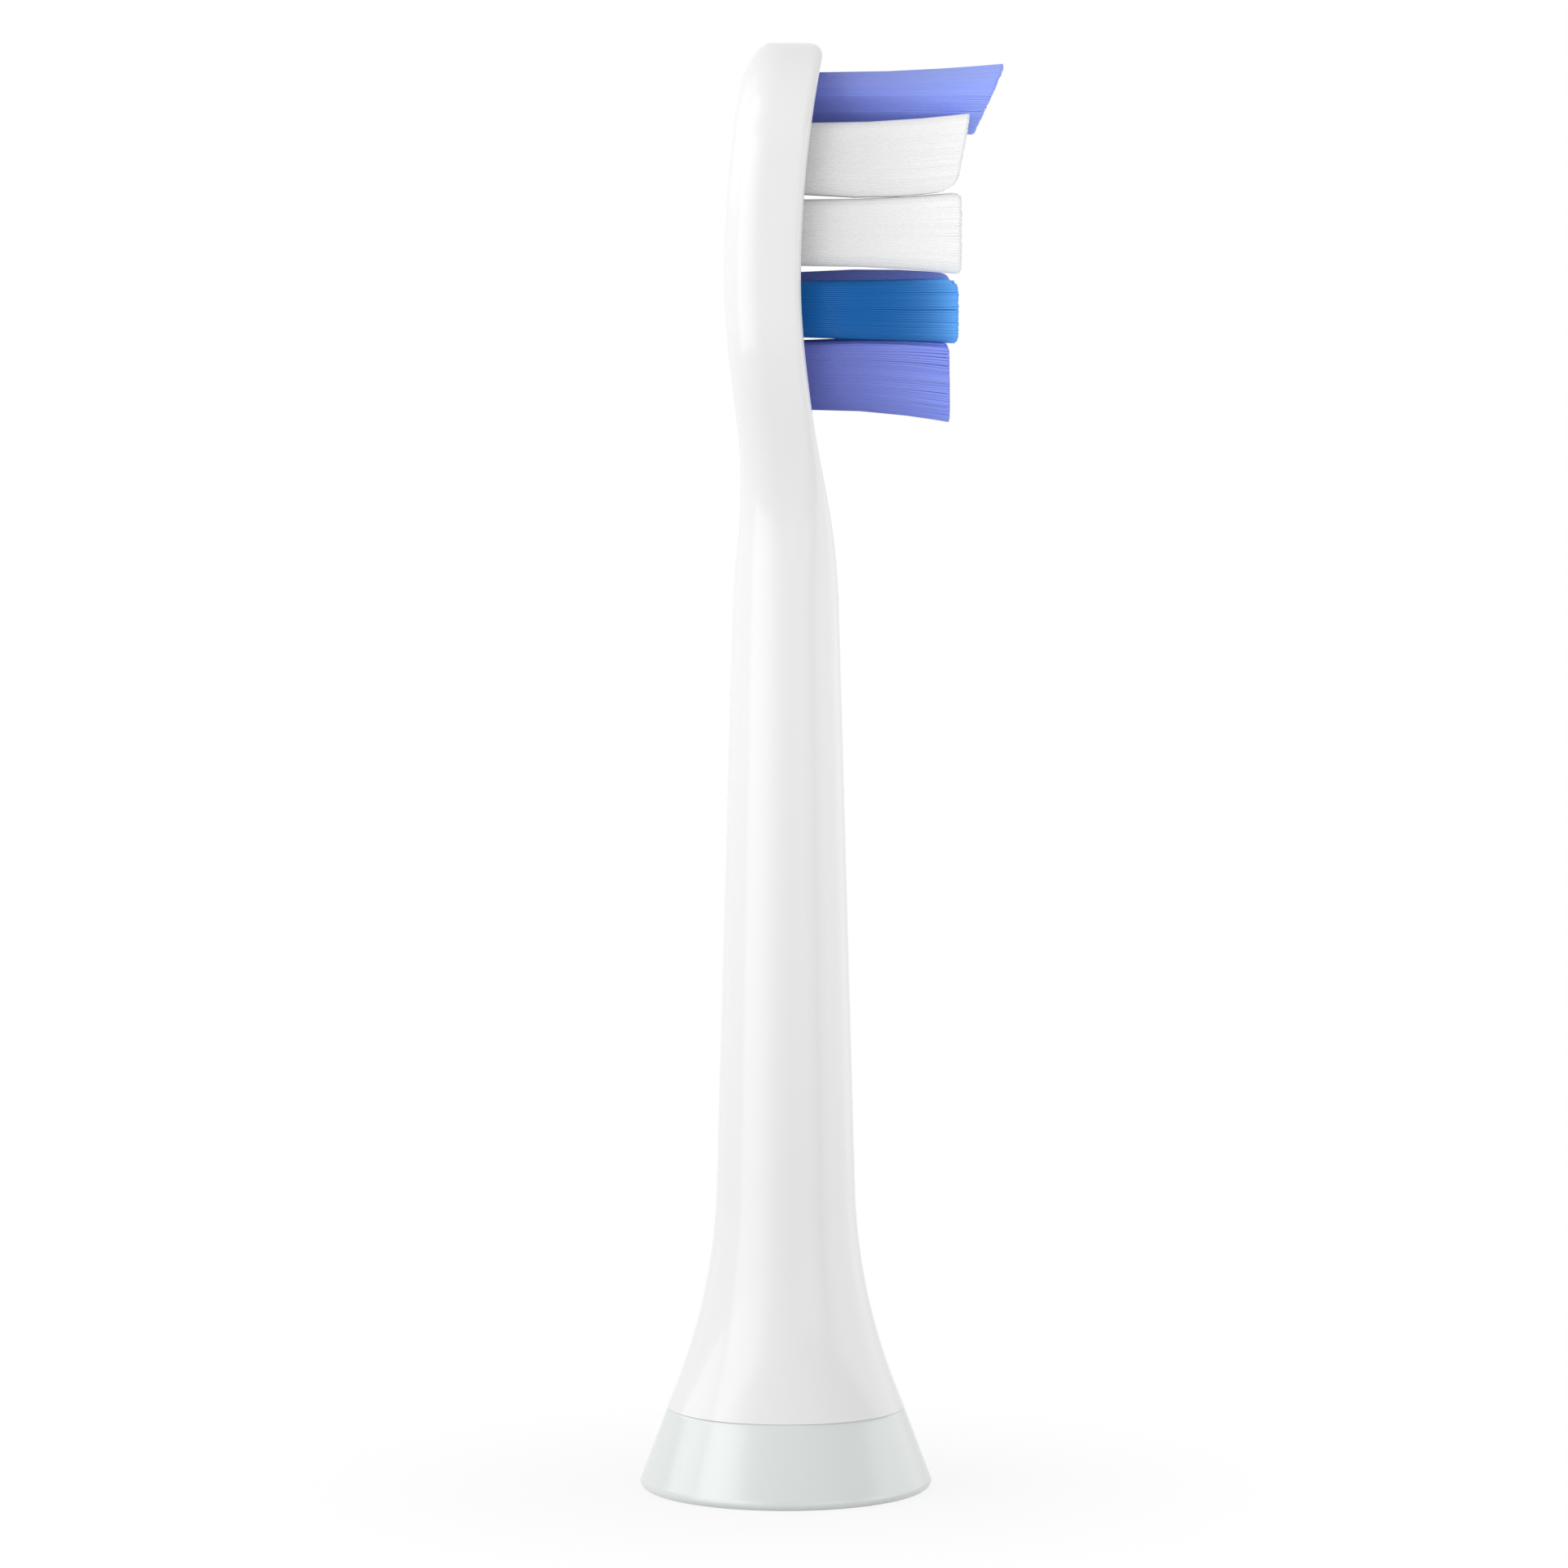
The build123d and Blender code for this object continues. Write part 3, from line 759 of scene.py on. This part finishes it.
bend = maths("MULTIPLY", free_share, free_share)
belly = maths("MULTIPLY", maths("SUBTRACT", free_share, bend), BELLY_PEAK)
taper = bristle_node(
    "ShaderNodeMapRange", {"Value": share, "From Min": TAPER_START, "To Min": 1.0, "To Max": TIP_TAPER}
).outputs[0]
thickness = maths("MULTIPLY", size_in["Radius"], taper)
sideways = between(maths("MULTIPLY", size_in["Fan Near"], -1.0), size_in["Fan Far"], across)
sideways = maths("MULTIPLY_ADD", stray[Y], size_in["Stray"], sideways)
sideways = maths("MULTIPLY_ADD", clump[Y], size_in["Clump Stray"], sideways)
upwards = between(size_in["Fan Low"], size_in["Fan High"], along)
upwards = maths("MULTIPLY_ADD", stray[Z], size_in["Stray"], upwards)
upwards = maths("MULTIPLY_ADD", clump[Z], size_in["Clump Stray"], upwards)
swell = maths("MULTIPLY", belly, between(size_in["Belly Low"], size_in["Belly High"], along))
middle_y = maths("MULTIPLY_ADD", bend, sideways, root[Y])
middle_z = maths("ADD", root[Z], maths("MULTIPLY_ADD", bend, upwards, swell))
new_place = bristle_node(
    "ShaderNodeCombineXYZ",
    {
        "X": maths("ADD", root[X], out_of_head),
        "Y": maths("MULTIPLY_ADD", rod_place[Y], thickness, middle_y),
        "Z": maths("MULTIPLY_ADD", rod_place[X], thickness, middle_z),
    },
).outputs[0]
shared = stored(solid_rods, "bristle_share", "FLOAT", free_share)
bent = bristle_node("GeometryNodeSetPosition", {"Geometry": shared, "Position": new_place})
smooth = bristle_node("GeometryNodeSetShadeSmooth", {"Geometry": bent.outputs[0]})
dressed = bristle_node(
    "GeometryNodeSetMaterial", {"Geometry": smooth.outputs[0], "Material": size_in["Nylon"]}
)
bristle_tree.links.new(dressed.outputs[0], bristle_out["Bristles"])
print("group", bristle_tree.name, "has", len(bristle_tree.nodes), "nodes")

# %% [markdown]
# ## The pockets
# Each bundle grows from a pocket with rounded corners in the head's front face. Three columns of rows
# fill the middle, a wide bundle follows the arch at the tip, and another one the narrowing at the heel.
# The edges of those two bulge, so their outline starts as a four-sided shape and its far edge is pushed
# out along a curve.

# %% Outline of a pocket
BRISTLE_RADIUS = 0.085
CORNER_ROUND = 0.75
CURVE_STEPS = 5
EDGE_PIECES = 10


def pocket_outline(low, high, low_ends, high_ends, low_bulge=0.0, high_bulge=0.0):
    """Points (y, z) half a bristle inside a pocket; the ends are those of its lower and upper edge in y."""
    low += BRISTLE_RADIUS
    high -= BRISTLE_RADIUS
    low_ends = (low_ends[0] + BRISTLE_RADIUS, low_ends[1] - BRISTLE_RADIUS)
    high_ends = (high_ends[0] + BRISTLE_RADIUS, high_ends[1] - BRISTLE_RADIUS)
    corners = [
        Vector((low_ends[0], low)),
        Vector((low_ends[1], low)),
        Vector((high_ends[1], high)),
        Vector((high_ends[0], high)),
    ]
    points = []
    for i, corner in enumerate(corners):
        following = corners[(i + 1) % 4]
        before = corner + (corners[i - 1] - corner).normalized() * CORNER_ROUND
        after = corner + (following - corner).normalized() * CORNER_ROUND
        next_before = following + (corner - following).normalized() * CORNER_ROUND
        for step in range(CURVE_STEPS):
            t = step / CURVE_STEPS
            points.append(before * (1 - t) ** 2 + corner * (2 * t * (1 - t)) + after * t * t)
        points += [after.lerp(next_before, step / EDGE_PIECES) for step in range(EDGE_PIECES)]
    middle = (low + high) / 2
    for point in points:
        bulge = high_bulge if point.y > middle else -low_bulge
        ends = high_ends if point.y > middle else low_ends
        lift = abs(point.y - middle) / ((high - low) / 2)
        point.y += bulge * lift * max(1 - (2 * point.x / (ends[1] - ends[0])) ** 2, 0)
    return points


def pocket_mesh(name, outline, face_x):
    """One flat face in the front of the head."""
    mesh = bpy.data.meshes.new(name)
    mesh.from_pydata([Vector((face_x, y, z)) * MM for y, z in outline], [], [list(range(len(outline)))])
    return mesh


print("a pocket's edge has", 4 * (CURVE_STEPS + EDGE_PIECES), "points")

# %% Grow one bundle
SPACING = 0.105
ROOT_DEPTH = 0.7
STRAY = 0.03
CLUMP_SIZE = 0.45
LENGTH_SPREAD = 0.05
socket_names = {
    item.name: item.identifier for item in bristle_tree.interface.items_tree if item.in_out == "INPUT"
}


def grow_bundle(name, outline, cut, fans, parting, nylon_material, seed):
    """A bundle on its pocket.

    The cut holds the fan, belly, reach and rounding, each at the low and the high edge of the bundle.
    The fans are those at its near and its far side.
    """
    low = min(z for y, z in outline)
    high = max(z for y, z in outline)
    near = min(y for y, z in outline)
    far = max(y for y, z in outline)
    face_x = back_and_front((low + high) / 2)[1]
    sizes = [low, high, near, far, *fans, *cut]
    sizes += [ROOT_DEPTH, SPACING, BRISTLE_RADIUS, STRAY, CLUMP_SIZE, parting, LENGTH_SPREAD]
    pocket = bpy.data.objects.new("pocket", pocket_mesh("pocket", outline, face_x))
    bpy.context.scene.collection.objects.link(pocket)
    grower = pocket.modifiers.new("bristles", "NODES")
    grower.node_group = bristle_tree
    grower[socket_names["Nylon"]] = nylon_material
    grower[socket_names["Seed"]] = seed
    for size_name, size in zip(BRISTLE_SIZES, sizes):
        grower[socket_names[size_name]] = size * MM
    evaluated = pocket.evaluated_get(bpy.context.evaluated_depsgraph_get())
    grown = bpy.data.meshes.new_from_object(evaluated)
    bpy.data.objects.remove(pocket)
    grown.name = name
    slot = BRISTLE_SLOTS[nylon_material.name]
    add_piece(name, grown, nylon_material, slot, name.replace("_bristles", ""))
    print(name, "has", len(grown.polygons) // ROD_FACES, "bristles")


# %% [markdown]
# ## Eleven bundles
# The rows are cut to different lengths and lean different ways: the tip bundle leans out and is cut to a
# sharp high corner, the rows between stand nearly straight, and the heel is shorter and level. The two
# outer columns are mirror images.

# %% The rows of three
CENTRE = (-1.4, 1.4)
LEFT = (-4.5, -1.75)
RIGHT = (1.75, 4.5)
COLUMN_FAN = 0.1
OUTER_FAN = 0.35
# Each row: name, column, low and high edge of the pocket, cut, parting of the tips, nylon, seed.
rows = [
    ("tuft_b", "outer", 68.48, 72.15, (0.1, 0.5, -0.2, 0.0, 7.7, 8.4, 0.9, 0.03), 0.06, white_nylon, 11),
    ("tuft_b", "centre", 68.55, 71.55, (0.1, -0.05, -0.2, 0.0, 7.7, 8.15, 0.9, 0.3), 0.06, white_nylon, 13),
    ("tuft_c", "outer", 64.75, 68.2, (-0.4, 0.35, 0.0, 0.0, 8.25, 8.25, 0.15, 0.25), 0.06, white_nylon, 14),
    ("tuft_c", "centre", 64.75, 68.2, (-0.3, 0.35, 0.0, 0.0, 8.25, 8.25, 0.15, 0.25), 0.06, white_nylon, 16),
    ("tuft_d", "outer", 61.06, 64.0, (-0.25, 0.1, -0.1, 0.0, 8.1, 8.1, 0.1, 0.6), 0.16, blue_nylon, 17),
    ("tuft_d", "centre", 61.15, 64.4, (-0.25, -0.05, -0.1, 0.17, 7.75, 7.75, 0.1, 0.4), 0.1, purple_nylon, 19)
]
for row_name, column, low, high, cut, parting, material, seed in rows:
    if column == "centre":
        outline = pocket_outline(low, high, CENTRE, CENTRE)
        fans = (COLUMN_FAN, COLUMN_FAN)
        grow_bundle(row_name + "_centre_bristles", outline, cut, fans, parting, material, seed)
        continue
    outline = pocket_outline(low, high, LEFT, LEFT)
    grow_bundle(row_name + "_left_bristles", outline, cut, (OUTER_FAN, COLUMN_FAN), parting, material, seed)
    outline = pocket_outline(low, high, RIGHT, RIGHT)
    fans = (COLUMN_FAN, OUTER_FAN)
    grow_bundle(row_name + "_right_bristles", outline, cut, fans, parting, material, seed + 1)

# %% The tip and the heel
WIDE_FANS = (OUTER_FAN, OUTER_FAN)
TIP_PARTING = 0.12
HEEL_PARTING = 0.32

tip_outline = pocket_outline(71.9, 73.65, (-0.9, 0.9), (-3.0, 3.0), high_bulge=1.2)
tip_cut = (-0.28, 0.4, 0.0, 0.0, 8.3, 9.85, 0.1, 0.05)
grow_bundle("tip_tuft_bristles", tip_outline, tip_cut, WIDE_FANS, TIP_PARTING, purple_nylon, 21)
heel_outline = pocket_outline(57.9, 60.8, (-3.1, 3.1), (-4.3, 4.3), low_bulge=0.7)
heel_cut = (-0.5, -0.05, 0.0, 0.13, 7.4, 7.3, 0.05, 0.35)
# the heel wears the darker copy of the purple nylon, which is painted shade
grow_bundle("heel_tuft_bristles", heel_outline, heel_cut, WIDE_FANS, HEEL_PARTING, shaded_purple_nylon, 22)

# %% [markdown]
# ## A white studio
# The photograph has a plain white ground. The background is white for the camera, for mirrors and for
# anything seen through a clear material, and every other ray sees a softer level of light, so that white
# plastic keeps its shading.


# %% The background
AMBIENT = 0.67


def seen_directly(tree):
    """One for a ray from the camera, a mirror or a clear material, and zero for any other."""
    ray = make_node(tree, "ShaderNodeLightPath").outputs
    mirrored = math_node(tree, "MAXIMUM", ray["Is Glossy Ray"], ray["Is Transmission Ray"])
    return math_node(tree, "MAXIMUM", ray["Is Camera Ray"], mirrored)


world = bpy.data.worlds.new("studio")
bpy.context.scene.world = world
world.use_nodes = True
sky_tree = world.node_tree
sky_tree.nodes.clear()
level = make_node(
    sky_tree, "ShaderNodeMapRange", {"Value": seen_directly(sky_tree), "To Min": AMBIENT, "To Max": 1.0}
)
sky = make_node(sky_tree, "ShaderNodeBackground", {"Color": WHITE, "Strength": level.outputs[0]})
make_node(sky_tree, "ShaderNodeOutputWorld", {"Surface": sky.outputs[0]})
print("other rays see a sky of", AMBIENT)

# %% [markdown]
# ## The floor
# A round floor under the base keeps a soft shadow and fades out into the white of the background. It is
# clear from below, and clear inside the rim of the base, so that light reaches the hub and a look from
# underneath shows it.

# %% Lay the floor
FLOOR_SIDES = 96
FLOOR_RADIUS = 0.12
FLOOR_DROP = 0.00002
FLOOR_HOLE = 0.0074
FLOOR_GREY = 0.7
FADE_RADIUS = 0.03
SHADOW_SHARE = 0.15

floor_mesh = bpy.data.meshes.new("floor")
floor_net = bmesh.new()
bmesh.ops.create_circle(floor_net, cap_ends=True, segments=FLOOR_SIDES, radius=FLOOR_RADIUS)
floor_net.to_mesh(floor_mesh)
floor_net.free()
floor = bpy.data.objects.new("floor", floor_mesh)
floor.location.z = -FLOOR_DROP
bpy.context.scene.collection.objects.link(floor)
floor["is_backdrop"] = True

floor_paint, floor_tree = empty_material("floor_paint")
floor_place = make_node(floor_tree, "ShaderNodeTexCoord").outputs["Object"]
from_middle = make_node(
    floor_tree, "ShaderNodeVectorMath", {0: floor_place}, operation="LENGTH"
).outputs["Value"]
fade = make_node(
    floor_tree,
    "ShaderNodeMapRange",
    {"Value": from_middle, "From Min": 0.0, "From Max": FADE_RADIUS, "To Min": SHADOW_SHARE, "To Max": 0.0},
    interpolation_type="SMOOTHSTEP",
).outputs[0]
share_white = math_node(
    floor_tree, "MULTIPLY", seen_directly(floor_tree), math_node(floor_tree, "SUBTRACT", 1.0, fade)
)
plain = make_node(floor_tree, "ShaderNodeBsdfDiffuse", {"Color": (FLOOR_GREY, FLOOR_GREY, FLOOR_GREY, 1.0)})
white = make_node(floor_tree, "ShaderNodeEmission", {"Color": WHITE, "Strength": 1.0})
top = make_node(floor_tree, "ShaderNodeMixShader", {0: share_white, 1: plain.outputs[0], 2: white.outputs[0]})
from_below = make_node(floor_tree, "ShaderNodeNewGeometry").outputs["Backfacing"]
in_hole = math_node(floor_tree, "LESS_THAN", from_middle, FLOOR_HOLE)
opening = math_node(floor_tree, "MAXIMUM", from_below, in_hole)
clear = make_node(floor_tree, "ShaderNodeBsdfTransparent")
one_sided = make_node(floor_tree, "ShaderNodeMixShader", {0: opening, 1: top.outputs[0], 2: clear.outputs[0]})
make_node(floor_tree, "ShaderNodeOutputMaterial", {"Surface": one_sided.outputs[0]})
floor_mesh.materials.append(floor_paint)
print("the shadow fades out over", round(FADE_RADIUS / MM), "mm")

# %% [markdown]
# ## The lamps
# Round glossy plastic shows its lamps as upright stripes. The photograph has a bright stripe left of the
# middle, with a firm outer edge and a soft inner one, and a fainter one along the right edge. Tall cards
# that fade across their width give both. A higher card lights the flared base, whose skin tips upwards,
# and a last one shows only in reflections and brightens the left edge of the base. The cards stand on an
# arc round the object. They are clear apart from their glow, so they hold back no light from the sky.

# %% Shape of a card
CARD_DISTANCE = 0.40
CARD_STEP = 2.0
MERGE_DISTANCE = 1e-7


def card_mesh(name, profile, low, high):
    """An upright arc; profile lists (turn, strength), with turns from the camera's side, left negative."""
    net = bmesh.new()
    power_layer = net.verts.layers.float.new("card_power")
    columns = []
    for (turn, power), (next_turn, next_power) in zip(profile, profile[1:]):
        count = max(round((next_turn - turn) / CARD_STEP), 1)
        for i in range(count + 1):
            share = i / count
            angle = math.radians(turn + (next_turn - turn) * share)
            spot = Vector((math.sin(angle), -math.cos(angle), 0)) * CARD_DISTANCE
            column = [net.verts.new(spot + Vector((0, 0, height))) for height in (low, high)]
            for vert in column:
                vert[power_layer] = power + (next_power - power) * share
            columns.append(column)
    for (a, b), (c, d) in zip(columns, columns[1:]):
        net.faces.new((a, c, d, b))
    bmesh.ops.remove_doubles(net, verts=net.verts, dist=MERGE_DISTANCE)
    mesh = bpy.data.meshes.new(name)
    net.to_mesh(mesh)
    net.free()
    return mesh


# %% A card of light
def light_card(name, profile, low, high, mirrored_only=False):
    """A card that glows by its profile, from a low to a high edge in metres."""
    mesh = card_mesh(name, profile, low, high)
    card = bpy.data.objects.new(name, mesh)
    bpy.context.scene.collection.objects.link(card)
    card.visible_camera = False
    card.visible_diffuse = not mirrored_only
    card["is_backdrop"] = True
    paint, tree = empty_material(name)
    strength = make_node(tree, "ShaderNodeAttribute", attribute_name="card_power").outputs["Fac"]
    light = make_node(tree, "ShaderNodeEmission", {"Color": WHITE, "Strength": strength})
    clear = make_node(tree, "ShaderNodeBsdfTransparent")
    both = make_node(tree, "ShaderNodeAddShader", {0: light.outputs[0], 1: clear.outputs[0]})
    make_node(tree, "ShaderNodeOutputMaterial", {"Surface": both.outputs[0]})
    mesh.materials.append(paint)
    print(name, "spans", profile[0][0], "to", profile[-1][0], "degrees")


# %% Set up the cards
LEFT_PROFILE = [
    (-140, 0.1), (-112, 0), (-80, 0.1), (-76, 1.25), (-64, 1.55), (-50, 1.5), (-36, 1.25), (-22, 0.6), (-8, 0)
]
RIGHT_PROFILE = [
    (12, 0.1), (30, 0.8), (48, 0.6), (58, 0), (62, 0.7), (80, 1.3), (104, 0.9), (130, 0.7), (150, 0)
]
HIGH_PROFILE = [(-135, 0), (-115, 0.6), (-90, 0.7), (-75, 1.9), (-55, 1.3), (-35, 0.1), (-15, 0)]
EDGE_PROFILE = [(-130, 0), (-122, 1.8), (-92, 1.8), (-78, 0.8), (-60, 0.8), (-40, 0.6), (-25, 0)]
light_card("left_card", LEFT_PROFILE, low=-0.10, high=0.20)
light_card("right_card", RIGHT_PROFILE, low=-0.10, high=0.15)
light_card("high_left_card", HIGH_PROFILE, low=0.20, high=0.60)
light_card("edge_card", EDGE_PROFILE, low=0.095, high=0.22, mirrored_only=True)

# %% [markdown]
# ## Finish
# The picture is shown without a film curve, so a colour in the picture is the colour of the material.
# The size of the box of the dressed object is printed.

# %% Print the size and finish
bpy.context.scene.view_settings.view_transform = "Standard"
low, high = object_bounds()
print("dressed box in mm:", [round(side / MM, 2) for side in high - low])
